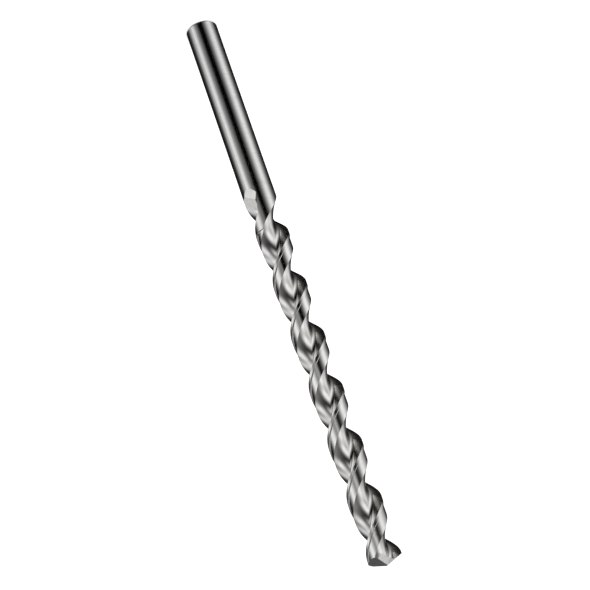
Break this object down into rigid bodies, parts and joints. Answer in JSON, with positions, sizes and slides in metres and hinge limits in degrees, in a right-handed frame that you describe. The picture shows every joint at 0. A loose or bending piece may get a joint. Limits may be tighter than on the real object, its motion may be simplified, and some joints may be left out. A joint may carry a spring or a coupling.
{
  "type": "twist drill bit",
  "caption": "Long parabolic-flute twist drill: plain round shank, two open right-hand helical flutes with narrow margins, and a split point.",
  "frame": {"origin": "centre of the flat end face of the shank", "axes": "+Z along the drill's axis from the shank's end to the point; both cutting lips run along X"},
  "size_m": [0.01, 0.01, 0.184],
  "materials": {
    "ground_steel": "ground bright, with fine grinding lines"
  },
  "bodies": {
    "root": {"twist_drill": "ground_steel"}
  },
  "joints": []
}
